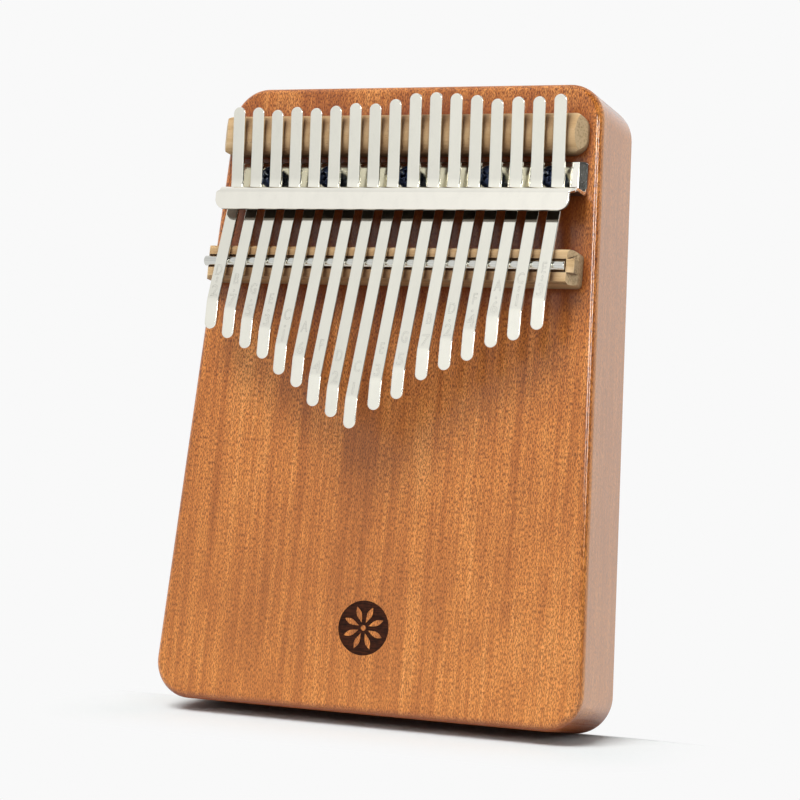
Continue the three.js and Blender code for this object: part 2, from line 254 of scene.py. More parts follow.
# Painted shade for the board's recesses, where nearby parts would shade the wood
MAHOGANY_PAINTED_SHADE = (0.20, 0.035, 0.004)
SOOT_TONES = [(0.38, (0.008, 0.003, 0.002)), (0.62, (0.055, 0.016, 0.007))]
BEECH_TONES = [
    (0.36, (0.42, 0.25, 0.105)),
    (0.5, (0.60, 0.40, 0.20)),
    (0.64, (0.74, 0.54, 0.31)),
]
BEECH_END_TONES = [(0.36, (0.36, 0.24, 0.12)), (0.52, (0.62, 0.46, 0.27))]
BEECH_FLECK = (0.17, 0.075, 0.025)
# Painted shade for the bars' recesses, between and under the tines
BEECH_PAINTED_SHADE = (0.16, 0.068, 0.025)
MARK_TONES = [(0.3, (0.42, 0.41, 0.38)), (0.7, (0.62, 0.61, 0.56))]
OXIDE_TONES = [(0.35, (0.012, 0.016, 0.035)), (0.65, (0.035, 0.05, 0.10))]
OXIDE_RUBBED = (0.30, 0.33, 0.38)
TINE_COLOUR = (0.90, 0.885, 0.79)
BRACKET_COLOUR = (0.90, 0.875, 0.79)
# Painted shade: the dark colour of the bracket's inner side and lip rim
BRACKET_SHADE_COLOUR = (0.16, 0.14, 0.12)
ROD_COLOUR = (0.64, 0.64, 0.60)
SMUDGE_SHADE = 0.93


# ---- mesh helpers ----

def new_object(name, mesh):
    obj = bpy.data.objects.new(name, mesh)
    bpy.context.scene.collection.objects.link(obj)
    return obj


def object_from_bmesh(name, bm):
    mesh = bpy.data.meshes.new(name)
    bmesh.ops.recalc_face_normals(bm, faces=bm.faces)
    bm.to_mesh(mesh)
    bm.free()
    return new_object(name, mesh)


def applied(obj):
    """The object with its modifiers or curve settings turned into plain mesh."""
    depsgraph = bpy.context.evaluated_depsgraph_get()
    mesh = bpy.data.meshes.new_from_object(obj.evaluated_get(depsgraph))
    name = obj.name
    bpy.data.objects.remove(obj)
    return new_object(name, mesh)


def smooth(obj, angle):
    """Smooth shading up to an angle in degrees, which stays true on the large flat faces."""
    for polygon in obj.data.polygons:
        polygon.use_smooth = True
    obj.data.set_sharp_from_angle(angle=math.radians(angle))
    weighted = obj.modifiers.new("true_flats", "WEIGHTED_NORMAL")
    weighted.keep_sharp = True
    weighted.weight = 90


def stand_in(node):
    """The piece stands for a CAD node, which is hidden."""
    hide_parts(node)


def cut(obj, cutter, operation="DIFFERENCE"):
    """obj less cutter, or the two joined. The new faces keep the cutter's material."""
    modifier = obj.modifiers.new("cut", "BOOLEAN")
    modifier.operation = operation
    modifier.solver = "EXACT"
    modifier.material_mode = "TRANSFER"
    modifier.object = cutter
    result = applied(obj)
    bpy.data.objects.remove(cutter)
    return result


def bridge_loops(bm, loops):
    """Quads between closed loops that have the same number of vertices."""
    for first, second in zip(loops, loops[1:]):
        count = len(first)
        for i in range(count):
            j = (i + 1) % count
            bm.faces.new((first[i], first[j], second[j], second[i]))


def capped_loops(loops_of_points):
    """A closed solid from loops of points, bridged in order, with both ends filled."""
    bm = bmesh.new()
    loops = [[bm.verts.new(point) for point in points] for points in loops_of_points]
    bridge_loops(bm, loops)
    bm.faces.new(loops[0])
    bm.faces.new(loops[-1])
    return bm


def quarter_round(radius, steps):
    """(inset, drop) pairs from a flat face round to a side."""
    turns = [math.pi / 2 * i / steps for i in range(steps + 1)]
    return [(radius * (1 - math.sin(t)), radius * (1 - math.cos(t))) for t in turns]


def bent_line(points, spans, steps=12):
    """A fine polyline through points, with each inner point rounded by its half span."""
    line = [Vector(points[0])]
    for before, vertex, after, span in zip(points, points[1:], points[2:], spans):
        vertex = Vector(vertex)
        entry = vertex + (Vector(before) - vertex).normalized() * span
        leave = vertex + (Vector(after) - vertex).normalized() * span
        for i in range(steps + 1):
            t = i / steps
            line.append(entry * (1 - t) ** 2 + vertex * (2 * t * (1 - t)) + leave * t ** 2)
    line.append(Vector(points[-1]))
    return line


class Bend:
    """Carries a flat strip onto a bent centre line in the (z, height) plane."""

    def __init__(self, line):
        self.line = line
        self.lengths = [0.0]
        for a, b in zip(line, line[1:]):
            self.lengths.append(self.lengths[-1] + (b - a).length)
        self.total = self.lengths[-1]

    def at(self, along):
        """The point and the upward normal at a distance along the line."""
        along = min(max(along, 0.0), self.total)
        k = 0
        while k < len(self.lengths) - 2 and self.lengths[k + 1] < along:
            k += 1
        step = self.lengths[k + 1] - self.lengths[k]
        share = (along - self.lengths[k]) / step
        point = self.line[k].lerp(self.line[k + 1], share)
        tangent = self.tangent(k).lerp(self.tangent(k + 1), share).normalized()
        return point, Vector((-tangent.y, tangent.x))

    def tangent(self, k):
        """The mean direction at a vertex of the line."""
        before = self.line[max(k - 1, 0)]
        after = self.line[min(k + 1, len(self.line) - 1)]
        return (after - before).normalized()

    def along_height(self, height):
        """The distance along the line where it comes down past a height."""
        for k, (a, b) in enumerate(zip(self.line, self.line[1:])):
            if b.y <= height < a.y:
                return self.lengths[k] + (a.y - height) / (a.y - b.y) * (b - a).length
        return self.total


# ---- material helpers ----

def rgba(colour):
    """A colour with full alpha; a socket stays as it is."""
    return (*colour, 1.0) if isinstance(colour, tuple) else colour


class Nodes:
    """Short calls for building the node tree of a material or a world."""

    def __init__(self, owner, coordinates):
        owner.use_nodes = True
        self.owner = owner
        self.tree = owner.node_tree
        self.place = self.add("ShaderNodeTexCoord").outputs[coordinates]

    def add(self, kind, inputs=None, **settings):
        node = self.tree.nodes.new(kind)
        for key, value in settings.items():
            setattr(node, key, value)
        for key, value in (inputs or {}).items():
            self.feed(node.inputs[key], value)
        return node

    def feed(self, socket, value):
        if isinstance(value, bpy.types.NodeSocket):
            self.tree.links.new(value, socket)
        else:
            socket.default_value = value

    def scaled(self, scale):
        """Object coordinates times scale, so that 1 unit is 1/scale metres."""
        return self.add("ShaderNodeMapping", {"Vector": self.place, "Scale": scale}).outputs[0]

    def noise(self, scale, detail, roughness, distortion=0.0):
        return self.add("ShaderNodeTexNoise", {
            "Vector": self.scaled(scale), "Scale": 1.0, "Detail": detail, "Roughness": roughness,
            "Distortion": distortion}).outputs["Fac"]

    def cells(self, scale):
        """The distance to the nearest point of a scattered pattern."""
        return self.add("ShaderNodeTexVoronoi", {
            "Vector": self.scaled(scale), "Scale": 1.0, "Randomness": 1.0}).outputs["Distance"]

    def axis(self, vector, name):
        """One coordinate of a vector."""
        return self.add("ShaderNodeSeparateXYZ", {"Vector": vector}).outputs[name]

    def facing(self, name):
        """How far the surface faces along an axis, from 0 to 1 whichever the way."""
        normal = self.add("ShaderNodeNewGeometry").outputs["Normal"]
        return self.maths("ABSOLUTE", self.axis(normal, name))

    def ramp(self, value, stops):
        """A colour ramp; stops are (position, colour)."""
        node = self.add("ShaderNodeValToRGB", {"Fac": value})
        ramp = node.color_ramp
        while len(ramp.elements) < len(stops):
            ramp.elements.new(0.5)
        for element, (position, colour) in zip(ramp.elements, stops):
            element.position = position
            element.color = rgba(colour)
        return node.outputs["Color"]

    def level(self, value, low, high, out_low=0.0, out_high=1.0):
        """Maps low..high to out_low..out_high, clamped."""
        return self.add("ShaderNodeMapRange", {
            "Value": value, "From Min": low, "From Max": high,
            "To Min": out_low, "To Max": out_high}).outputs["Result"]

    def maths(self, operation, a, b=0.0):
        node = self.add("ShaderNodeMath", operation=operation)
        self.feed(node.inputs[0], a)
        self.feed(node.inputs[1], b)
        return node.outputs[0]

    def weighted(self, *parts):
        """The sum of values, each times its weight; parts are (value, weight)."""
        shares = [self.maths("MULTIPLY", value, weight) for value, weight in parts]
        total = shares[0]
        for share in shares[1:]:
            total = self.maths("ADD", total, share)
        return total

    def between(self, share, a, b):
        """The number a where share is 0, and b where it is 1."""
        return self.add("ShaderNodeMix", {"Factor": share, "A": a, "B": b}).outputs[0]

    def mix(self, share, a, b, blend="MIX"):
        """The colour a where share is 0, and b where it is 1."""
        node = self.add("ShaderNodeMix", {"Factor": share}, data_type="RGBA", blend_type=blend)
        colour_a, colour_b = node.inputs[6], node.inputs[7]
        self.feed(colour_a, rgba(a))
        self.feed(colour_b, rgba(b))
        return node.outputs[2]

    def painted_recess_shade(self, reach, darkest):
        """Painted shade: 1 on open wood, falling to darkest where neighbouring parts close it in and
        would shade it.
        """
        node = self.add("ShaderNodeAmbientOcclusion", {"Distance": reach}, samples=8)
        return self.level(node.outputs["AO"], 0.42, 0.9, darkest, 1.0)

    def bump(self, height, distance, strength, normal=None):
        inputs = {"Height": height, "Distance": distance, "Strength": strength}
        if normal is not None:
            inputs["Normal"] = normal
        return self.add("ShaderNodeBump", inputs).outputs[0]

    def principled(self, **values):
        """Sets the surface shader and gives the material; keys use _ for spaces."""
        shader = self.tree.nodes["Principled BSDF"]
        for key, value in values.items():
            self.feed(shader.inputs[key.replace("_", " ")], value)
        return self.owner


def material_nodes(name):
    return Nodes(bpy.data.materials.new(name), "Object")


# ---- materials ----

def mahogany_figure(n):
    """Ribbon figure: across the grain (x and y) features are fine, along it (z) they are long."""
    ribbons = n.noise((105, 105, 5), detail=3.0, roughness=0.55, distortion=0.5)
    streaks = n.noise((620, 620, 16), detail=4.0, roughness=0.6, distortion=0.2)
    clouds = n.noise((20, 20, 12), detail=3.0, roughness=0.5)
    figure = n.noise((60, 60, 34), detail=3.0, roughness=0.5, distortion=1.0)
    return n.weighted((ribbons, 0.34), (streaks, 0.36), (clouds, 0.16), (figure, 0.14))


def mahogany_pores(n):
    """Short ticks that run along the grain in drifts, and a few longer and deeper ones."""
    ticks = n.cells((2500, 2500, 800))
    long_ticks = n.cells((1700, 1700, 260))
    drift = n.noise((210, 210, 70), detail=3.0, roughness=0.6)
    short = n.maths("MULTIPLY", n.level(ticks, 0.46, 0.24), n.level(drift, 0.36, 0.62, 0.35, 1.0))
    deep = n.maths("MULTIPLY", n.level(long_ticks, 0.26, 0.12), n.level(drift, 0.42, 0.6))
    return short, deep


def mahogany_face(n, fibres, short, deep):
    """The colour of the broad faces."""
    wood = n.ramp(mahogany_figure(n), MAHOGANY_TONES)
    wood = n.mix(n.level(fibres, 0.38, 0.62, 0.0, 0.42), wood, MAHOGANY_FIBRE)
    wood = n.mix(n.maths("MULTIPLY", short, 0.55), wood, MAHOGANY_PORE)
    wood = n.mix(n.maths("MULTIPLY", deep, 0.6), wood, MAHOGANY_DEEP_PORE)
    speckle = n.noise((3600, 3600, 1050), detail=1.0, roughness=0.5)
    return n.mix(1.0, wood, n.ramp(speckle, MAHOGANY_SPECKLE), "MULTIPLY")


def mahogany_by_place(n, wood, end_grain):
    """Darker end grain, a painted pale reflection on the sides, a paler lower half and painted shade in
    the recesses.
    """
    wood = n.mix(n.maths("MULTIPLY", end_grain, 0.2), wood, MAHOGANY_END)
    # Painted reflection: faces along X are mixed towards a paler colour, as if they mirrored the pale
    # room
    side = n.level(n.facing("X"), 0.8, 0.97)
    wood = n.mix(n.maths("MULTIPLY", side, 0.5), wood, MAHOGANY_SIDE_REFLECTION)
    low_share = n.level(n.axis(n.place, "Z"), 0.0, 0.14, 0.2, 0.0)
    wood = n.mix(low_share, wood, MAHOGANY_FOOT)
    # Painted shade: the wood darkens towards this colour where nearby parts close it in
    return n.mix(n.painted_recess_shade(14 * MM, 0.18), MAHOGANY_PAINTED_SHADE, wood)


def varnished_mahogany():
    """Straight ribbon-grained mahogany with open pores, under a thin gloss varnish."""
    n = material_nodes("varnished_mahogany")
    fibres = n.noise((2400, 2400, 110), detail=3.0, roughness=0.6)
    short, deep = mahogany_pores(n)
    end_grain = n.level(n.facing("Z"), 0.6, 0.9)
    wood = mahogany_by_place(n, mahogany_face(n, fibres, short, deep), end_grain)
    # The broad faces keep a slight haze, the end grain more; the rounded edges have a full gloss
    haze = n.level(n.facing("Y"), 0.975, 0.998, 0.07, 0.26)
    haze = n.maths("ADD", haze, n.maths("MULTIPLY", end_grain, 0.4))
    varnish = n.noise((60, 60, 60), detail=2.0, roughness=0.5)
    grain = n.maths("SUBTRACT", fibres, n.maths("MULTIPLY", short, 1.2))
    return n.principled(
        Base_Color=wood,
        Roughness=n.level(fibres, 0.3, 0.7, 0.42, 0.55),
        Normal=n.bump(grain, distance=0.06 * MM, strength=0.5),
        Specular_IOR_Level=0.1,
        Coat_Weight=n.level(end_grain, 0.0, 1.0, 1.0, 0.08),
        Coat_Roughness=haze,
        Coat_IOR=1.5,
        Coat_Normal=n.bump(varnish, distance=0.25 * MM, strength=0.12),
    )


def burnt_wood():
    """Charred floor of the branded emblem, with soot lines left by the burning."""
    n = material_nodes("burnt_wood")
    lines = n.noise((260, 260, 4200), detail=2.0, roughness=0.5)
    soot = n.noise((900, 900, 900), detail=4.0, roughness=0.6)
    return n.principled(
        Base_Color=n.ramp(n.weighted((lines, 0.6), (soot, 0.4)), SOOT_TONES),
        Roughness=0.8,
        Specular_IOR_Level=0.2,
        Normal=n.bump(soot, distance=0.08 * MM, strength=0.7),
    )


def beech_flecks(n):
    """Short dark flecks along X, in patches."""
    flecks = n.cells((520, 1900, 1900))
    patches = n.noise((200, 500, 500), detail=2.0, roughness=0.5)
    return n.maths("MULTIPLY", n.level(flecks, 0.26, 0.12), n.level(patches, 0.5, 0.6))


def sanded_beech():
    """Pale beech with short flecks along X and dots on its ends, with painted shade where it is closed
    in.
    """
    n = material_nodes("sanded_beech")
    bands = n.noise((16, 260, 260), detail=3.0, roughness=0.55, distortion=0.4)
    fibres = n.noise((140, 2200, 2200), detail=3.0, roughness=0.6)
    blotch = n.noise((70, 120, 120), detail=3.0, roughness=0.5)
    wood = n.ramp(n.weighted((bands, 0.55), (fibres, 0.25), (blotch, 0.2)), BEECH_TONES)
    fleck = beech_flecks(n)
    wood = n.mix(n.maths("MULTIPLY", fleck, 0.7), wood, BEECH_FLECK)
    end_grain = n.level(n.facing("X"), 0.5, 0.8)
    dots = n.noise((1300, 1300, 1300), detail=3.0, roughness=0.6)
    wood = n.mix(n.maths("MULTIPLY", end_grain, 0.8), wood, n.ramp(dots, BEECH_END_TONES))
    # Painted shade: darker where nearby parts close the bar in
    wood = n.mix(n.painted_recess_shade(9 * MM, 0.08), BEECH_PAINTED_SHADE, wood)
    return n.principled(
        Base_Color=wood,
        Roughness=n.level(fibres, 0.3, 0.7, 0.5, 0.7),
        Normal=n.bump(n.maths("SUBTRACT", fibres, fleck), distance=0.08 * MM, strength=0.6),
    )


def polished_metal(name, colour, roughness, lengthways):
    """Bright plated metal with faint rolling waves, fine scratches and a few smudges."""
    n = material_nodes(name)
    fine = (4000, 4000, 90) if lengthways else (90, 4000, 4000)
    scratches = n.noise(fine, detail=2.0, roughness=0.5)
    waves = n.noise((120, 120, 60), detail=2.0, roughness=0.5)
    smudge = n.noise((230, 230, 130), detail=4.0, roughness=0.6)
    smudged = tuple(SMUDGE_SHADE * c for c in colour)
    rough = n.level(smudge, 0.45, 0.7, roughness, roughness * 1.9)
    rolling = n.bump(waves, distance=0.2 * MM, strength=0.06)
    return n.principled(
        Base_Color=n.mix(n.level(smudge, 0.4, 0.7, 0.0, 0.5), colour, smudged),
        Metallic=1.0,
        Roughness=n.maths("ADD", rough, n.level(scratches, 0.55, 0.75, 0.0, 0.07)),
        Normal=n.bump(scratches, distance=0.01 * MM, strength=0.12, normal=rolling),
    )


def frosted_mark():
    """The matt floor of an engraved line."""
    n = material_nodes("frosted_mark")
    grit = n.noise((9000, 9000, 9000), detail=2.0, roughness=0.6)
    return n.principled(Base_Color=n.ramp(grit, MARK_TONES), Metallic=0.9, Roughness=0.55)


def black_oxide():
    """Blue-black screw finish, rubbed bright on the edges of the cross."""
    n = material_nodes("black_oxide")
    mottle = n.noise((900, 900, 900), detail=4.0, roughness=0.6)
    pointed = n.add("ShaderNodeNewGeometry").outputs["Pointiness"]
    return n.principled(
        Base_Color=n.mix(n.level(pointed, 0.52, 0.62), n.ramp(mottle, OXIDE_TONES), OXIDE_RUBBED),
        Metallic=0.9,
        Roughness=n.level(mottle, 0.3, 0.7, 0.22, 0.4),
        Normal=n.bump(mottle, distance=0.05 * MM, strength=0.3),
    )


MAHOGANY = varnished_mahogany()
BURNT = burnt_wood()
BEECH = sanded_beech()
TINE_METAL = polished_metal("polished_tine", TINE_COLOUR, 0.075, True)
BRACKET_METAL = polished_metal("polished_bracket", BRACKET_COLOUR, 0.085, False)
# Painted shade: dark metal for the bracket's inner side and lip rim
BRACKET_PAINTED_SHADE = polished_metal("bracket_inside_painted_shade", BRACKET_SHADE_COLOUR, 0.3, False)
ROD_METAL = polished_metal("polished_rod", ROD_COLOUR, 0.09, False)
MARK = frosted_mark()
SCREW_METAL = black_oxide()


# ---- outlines and plates ----

ACROSS = Vector((1, 0, 0))
ALONG = Vector((0, 1, 0))


def rounded_corners(corners, steps):
    """(centre, radius, angle, side) along a counter-clockwise polygon whose corners are arcs.

    side is 1 on an outward corner and -1 on an inward one."""
    samples = []
    count = len(corners)
    for i, (x, z, radius) in enumerate(corners):
        corner = Vector((x, z))
        before = (Vector(corners[i - 1][:2]) - corner).normalized()
        after = (Vector(corners[(i + 1) % count][:2]) - corner).normalized()
        side = 1 if after.x * before.y - after.y * before.x > 0 else -1
        half = before.angle(after) / 2
        centre = corner + (before + after).normalized() * (radius / math.sin(half))
        start = corner + before * (radius / math.tan(half)) - centre
        turn = side * (math.pi - 2 * half)
        first = math.atan2(start.y, start.x)
        samples += [(centre, radius, first + turn * k / steps, side) for k in range(steps + 1)]
    return samples


def outline_at(samples, inset):
    return [c + Vector((math.cos(a), math.sin(a))) * (r - side * inset) for c, r, a, side in samples]


def full_outline(samples):
    return [tuple(point) for point in outline_at(samples, 0.0)]


def circle(x, y, radius, steps):
    turns = [2 * math.pi * i / steps for i in range(steps)]
    return [(x + radius * math.cos(t), y + radius * math.sin(t)) for t in turns]


def flat_curve(name, outlines, half_depth, bevel):
    """A filled plate in the XY plane from closed outlines; inner ones become holes."""
    curve = bpy.data.curves.new(name, "CURVE")
    curve.dimensions = "2D"
    curve.fill_mode = "BOTH"
    curve.extrude = half_depth - bevel
    curve.bevel_depth = bevel
    curve.bevel_resolution = 0
    curve.offset = -bevel
    for outline in outlines:
        spline = curve.splines.new("POLY")
        spline.points.add(len(outline) - 1)
        for point, (x, y) in zip(spline.points, outline):
            point.co = (x, y, 0, 1)
        spline.use_cyclic_u = True
    plate = applied(new_object(name, curve))
    bm = bmesh.new()
    bm.from_mesh(plate.data)
    bmesh.ops.remove_doubles(bm, verts=bm.verts, dist=CURVE_WELD)
    bmesh.ops.recalc_face_normals(bm, faces=bm.faces)
    bm.to_mesh(plate.data)
    bm.free()
    return plate


def add_rows(obj, places, axis):
    """Adds edge rows across a flat plate, at places along an axis, so that it can bend there."""
    bm = bmesh.new()
    bm.from_mesh(obj.data)
    for place in places:
        geometry = bm.verts[:] + bm.edges[:] + bm.faces[:]
        bmesh.ops.bisect_plane(bm, geom=geometry, plane_co=axis * place, plane_no=axis)
    bm.to_mesh(obj.data)
    bm.free()


def place_on(obj, bend):
    """Moves a flat plate's vertices (x, along, height) onto the bent line in front of the face."""
    for vertex in obj.data.vertices:
        point, normal = bend.at(vertex.co.y)
        spot = point + normal * vertex.co.z
        vertex.co = (vertex.co.x, FACE_Y - spot.y, spot.x)


# ---- board ----

def board_mesh():
    samples = rounded_corners([
        (-BOARD_HALF_BOTTOM, 0, BOARD_CORNER),
        (BOARD_HALF_BOTTOM, 0, BOARD_CORNER),
        (BOARD_HALF_TOP, BOARD_HEIGHT, BOARD_CORNER),
        (-BOARD_HALF_TOP, BOARD_HEIGHT, BOARD_CORNER),
    ], BOARD_CORNER_STEPS)
    edge = [(BOARD_ROUNDOVER + BOARD_FACE_MARGIN, 0.0)]
    edge += quarter_round(BOARD_ROUNDOVER, BOARD_ROUNDOVER_STEPS)
    levels = [(inset, FACE_Y + drop) for inset, drop in edge]
    levels += [(inset, BACK_Y - drop) for inset, drop in reversed(edge)]
    loops = [[(p.x, y, p.y) for p in outline_at(samples, inset)] for inset, y in levels]
    return object_from_bmesh("board", capped_loops(loops))


def leaf(turn, steps=14):
    """A pointed leaf that grows outwards from the emblem's centre."""
    side = []
    for i in range(steps + 1):
        share = i / steps
        half = LEAF_WIDTH / 2 * math.sin(math.pi * share ** LEAF_LEAN)
        side.append((LEAF_START + (LEAF_END - LEAF_START) * share, half))
    outline = side + [(along, -half) for along, half in reversed(side[1:-1])]
    c, s = math.cos(turn), math.sin(turn)
    return [(EMBLEM_RADIUS * (x * c - y * s), EMBLEM_RADIUS * (x * s + y * c)) for x, y in outline]


def emblem_cutter():
    """A burnt disc that leaves a plain eight-leaf rosette of bare wood."""
    outlines = [circle(0, 0, EMBLEM_RADIUS, 96), circle(0, 0, EYE_RADIUS * EMBLEM_RADIUS, 20)]
    outlines += [leaf(2 * math.pi * (k + 0.5) / EMBLEM_LEAVES) for k in range(EMBLEM_LEAVES)]
    cutter = flat_curve("emblem", outlines, EMBLEM_DEPTH, 0.0)
    turn = Matrix.Rotation(math.pi / 2, 4, "X")
    cutter.data.transform(Matrix.Translation((EMBLEM_X, FACE_Y, EMBLEM_Z)) @ turn)
    cutter.data.materials.append(BURNT)
    return cutter


def make_board():
    board = board_mesh()
    board.data.materials.append(MAHOGANY)
    board = cut(board, emblem_cutter())
    smooth(board, 40)
    stand_in("body_board")
    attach(board, ROOT)


# ---- wooden bars ----

def beech_block(low, high):
    """A beech block between two corners."""
    bm = bmesh.new()
    bmesh.ops.create_cube(bm, size=1.0)
    bmesh.ops.scale(bm, vec=high - low, verts=bm.verts)
    bmesh.ops.translate(bm, vec=(low + high) / 2, verts=bm.verts)
    block = object_from_bmesh("channel", bm)
    block.data.materials.append(BEECH)
    return block


def merge_flat_faces(obj):
    modifier = obj.modifiers.new("flatten", "DECIMATE")
    modifier.decimate_type = "DISSOLVE"
    modifier.angle_limit = math.radians(BAR_FLAT_DEGREES)
    return modifier


def bar_from_cad(name, node, height_scale, left_shift, right_shift):
    """The CAD bar's own shape, with its height scaled and its two ends shifted."""
    mesh = frame["nodes"][node].data.copy()
    mesh.materials.clear()
    mesh.materials.append(BEECH)
    for vertex in mesh.vertices:
        vertex.co.y = FACE_Y + (vertex.co.y - FACE_Y) * height_scale
        vertex.co.x += right_shift if vertex.co.x > 0 else left_shift
    bar = new_object(name, mesh)
    weld = bar.modifiers.new("weld", "WELD")
    weld.merge_threshold = BAR_WELD
    merge_flat_faces(bar)
    return bar


def finish_bar(bar, node, edge):
    """Sands the bar's edges and puts it in place of its CAD node."""
    merge_flat_faces(bar).delimit = {"MATERIAL"}
    bevel = bar.modifiers.new("sanded", "BEVEL")
    bevel.width = edge
    bevel.segments = BAR_EDGE_STEPS
    bevel.limit_method = "ANGLE"
    bevel.angle_limit = math.radians(BAR_EDGE_DEGREES)
    bar = applied(bar)
    smooth(bar, 50)
    stand_in(node)
    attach(bar, ROOT)


def make_backstop():
    shift = BACKSTOP_SHIFT
    bar = bar_from_cad("backstop", "backstop_bar", BACKSTOP_HEIGHT_SCALE, shift, shift)
    finish_bar(bar, "backstop_bar", BACKSTOP_EDGE)


def make_bridge():
    """The bridge: its groove is filled past the rod's right end, and opened beside the rod."""
    low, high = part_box("bridge_saddle")
    groove_low_z = ROD_LOW.z - CHANNEL_GAP
    groove_high_z = ROD_HIGH.z + CHANNEL_GAP
    groove_end = ROD_HIGH.x + CHANNEL_PAST_ROD
    opening = beech_block(
        Vector((low.x - CUTTER_MARGIN, low.y - CUTTER_MARGIN, groove_low_z)),
        Vector((groove_end, low.y + CHANNEL_DEPTH, groove_high_z)))
    filling = beech_block(
        Vector((groove_end, low.y, groove_low_z)),
        Vector((high.x + BRIDGE_END_SHIFT, FACE_Y - CUTTER_MARGIN, groove_high_z)))
    bar = bar_from_cad("bridge", "bridge_saddle", 1.0, 0.0, BRIDGE_END_SHIFT)
    bar = cut(bar, filling, "UNION")
    bar = cut(bar, opening)
    finish_bar(bar, "bridge_saddle", BRIDGE_EDGE)


# ---- rod ----

def turned_mesh(profile, segments):
    """A solid of revolution about Z. profile: (radius, z) from bottom to top, both on the axis."""
    bm = bmesh.new()
    bottom = bm.verts.new((0, 0, profile[0][1]))
    top = bm.verts.new((0, 0, profile[-1][1]))
    loops = []
    for radius, z in profile[1:-1]:
        loops.append([bm.verts.new((x, y, z)) for x, y in circle(0, 0, radius, segments)])
    bridge_loops(bm, loops)
    for i in range(segments):
        j = (i + 1) % segments
        bm.faces.new((bottom, loops[0][j], loops[0][i]))
        bm.faces.new((top, loops[-1][i], loops[-1][j]))
    return bm


def make_rod():
    radius = (ROD_HIGH.z - ROD_LOW.z) / 2
    half = (ROD_HIGH.x - ROD_LOW.x) / 2
    edge = quarter_round(ROD_EDGE, ROD_EDGE_STEPS)
    rim = [(radius - inset, half - drop) for inset, drop in edge]
    profile = [(0, -half)] + [(r, -x) for r, x in rim]
    profile += [(r, x) for r, x in reversed(rim)] + [(0, half)]
    bm = turned_mesh(profile, ROD_SEGMENTS)
    across = Matrix.Rotation(math.pi / 2, 4, "Y")
    middle = Matrix.Translation((ROD_LOW + ROD_HIGH) / 2)
    bmesh.ops.transform(bm, matrix=middle @ across, verts=bm.verts)
    rod = object_from_bmesh("rod", bm)
    rod.data.materials.append(ROD_METAL)
    smooth(rod, 50)
    stand_in("bridge_rod")
    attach(rod, ROOT)


# ---- bracket ----

def sheet_outline(half, fold, length):
    """The flat sheet: a lip with wide rounds, set slightly to the left of the web and foot."""
    lip_left = -half - LIP_LEFT_OVERHANG
    lip_right = half - LIP_RIGHT_SETBACK
    left = -half + FOOT_SHIFT
    right = half + FOOT_SHIFT
    return full_outline(rounded_corners([
        (lip_left, 0, LIP_CORNER),
        (lip_right, 0, LIP_CORNER),
        (lip_right, fold, SHEET_CORNER),
        (right, fold + LIP_SHOULDER, SHEET_CORNER),
        (right, length, FOOT_CORNER),
        (left, length, FOOT_CORNER),
        (left, fold + LIP_SHOULDER, SHEET_CORNER),
        (lip_left, fold, LIP_SHOULDER),
    ], 8))


def window_outline(x, start, end):
    """The opening in the web that one tine passes through."""
    left = x - WINDOW_WIDTH / 2
    right = x + WINDOW_WIDTH / 2
    corners = [(left, start), (right, start), (right, end), (left, end)]
    return full_outline(rounded_corners([(*corner, WINDOW_CORNER) for corner in corners], 4))


def screw_hole(node, bend, rear_z):
    low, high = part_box(node)
    centre = (low + high) / 2
    return circle(centre.x, bend.total - (rear_z - centre.z), SCREW_HOLE_RADIUS, 28)


def flat_bracket(bend, half, fold, rear_z):
    """The sheet before it is bent, with its windows and screw holes."""
    web_start = bend.along_height(WINDOW_HIGH_Y)
    web_end = bend.along_height(WINDOW_LOW_Y)
    outlines = [sheet_outline(half, fold, bend.total)]
    outlines += [window_outline(PIVOTS[tine].x, web_start, web_end) for tine in TINES]
    outlines += [screw_hole(screw, bend, rear_z) for screw in SCREWS]
    return flat_curve("bracket", outlines, SHEET / 2, SHEET_EDGE)


def curl_right_end(obj, foot_start):
    """The foot's right end is pressed thin, so that its front slopes away."""
    start = max(v.co.x for v in obj.data.vertices) - CURL_LENGTH
    add_rows(obj, (start, start + CURL_CREASE), ACROSS)
    for vertex in obj.data.vertices:
        if vertex.co.x > start and vertex.co.y > foot_start:
            share = CURL_SHARE * (vertex.co.x - start) / CURL_LENGTH
            vertex.co.z = -SHEET / 2 + (vertex.co.z + SHEET / 2) * (1 - share)


def shade_inner_side(obj, fold):
    """The sheet's inner side and the lip's rim get a dark, rougher metal, everything else is polished:
    the roughness is a duller inner finish, the dark colour is painted shade for the shadow under the
    lip.
    """
    obj.data.materials.append(BRACKET_METAL)
    obj.data.materials.append(BRACKET_PAINTED_SHADE)
    for face in obj.data.polygons:
        inner = face.normal.z < -0.5
        lip_rim = face.center.y < fold and face.normal.z < 0.3
        if inner or lip_rim:
            face.material_index = 1


def make_bracket():
    low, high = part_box("z_bracket")
    rear_z = high.z
    bend = Bend(bent_line(
        [(LIP_Z, LIP_Y), (WEB_Z, WEB_TOP_Y), (WEB_Z, FOOT_Y), (rear_z, FOOT_Y + FOOT_LIFT)],
        [BRACKET_BEND_SPAN, BRACKET_BEND_SPAN]))
    fold = bend.lengths[1] + BRACKET_BEND_SPAN / 4
    bracket = flat_bracket(bend, (high.x - low.x) / 2, fold, rear_z)
    add_rows(bracket, bend.lengths[1:-1], ALONG)
    curl_right_end(bracket, bend.lengths[-2])
    # Painted shade on the inner side and the lip's rim
    shade_inner_side(bracket, fold)
    place_on(bracket, bend)
    smooth(bracket, 50)
    stand_in("z_bracket")
    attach(bracket, ROOT)


# ---- screws ----

